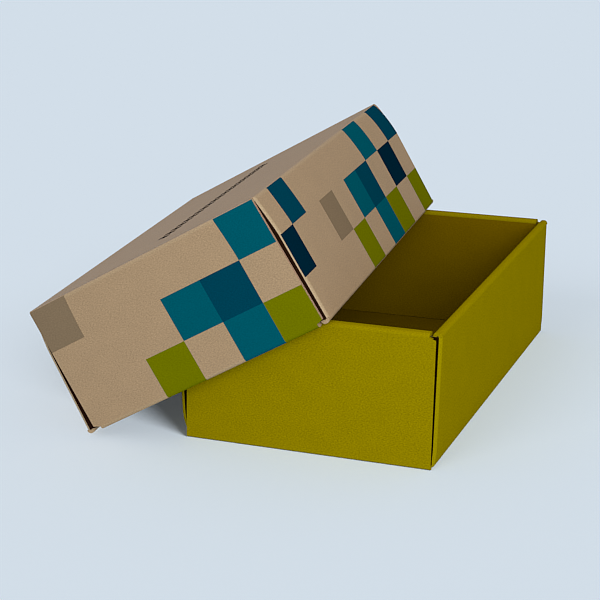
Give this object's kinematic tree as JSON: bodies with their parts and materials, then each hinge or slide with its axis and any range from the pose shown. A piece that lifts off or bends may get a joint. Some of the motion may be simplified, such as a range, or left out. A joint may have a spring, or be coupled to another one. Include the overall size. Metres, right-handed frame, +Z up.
{
  "type": "lift-off lid gift box",
  "caption": "Rectangular corrugated gift box: an open olive base tray with double rolled walls, and a kraft lid tray with a mosaic print that leans across it.",
  "frame": {"origin": "centre of the base tray's underside", "axes": "+Z up, X across the base's short ends with the lid leaning from -X, Y along its long walls, -Y towards the viewer"},
  "size_m": [0.2103, 0.2321, 0.1195],
  "materials": {
    "olive_board": "matt print over kraft board",
    "kraft_board": "bare matt kraft board",
    "teal_ink": "matt ink on kraft board",
    "dark_teal_ink": "matt ink on kraft board",
    "navy_ink": "matt ink on kraft board",
    "olive_ink": "matt ink on kraft board",
    "taupe_ink": "matt ink on kraft board",
    "black_ink": "matt ink on kraft board"
  },
  "bodies": {
    "base": {"base_tray": "olive_board"},
    "lid": {"lid_tray": "kraft_board", "print_teal": "teal_ink", "print_dark_teal": "dark_teal_ink", "print_navy": "navy_ink", "print_olive": "olive_ink", "print_taupe": "taupe_ink", "print_black": "black_ink"}
  },
  "joints": [
    {"name": "lid_lift", "type": "slide", "parent": "base", "child": "lid", "axis": [0, 0, 1], "range_m": [0, 0.12]}
  ]
}
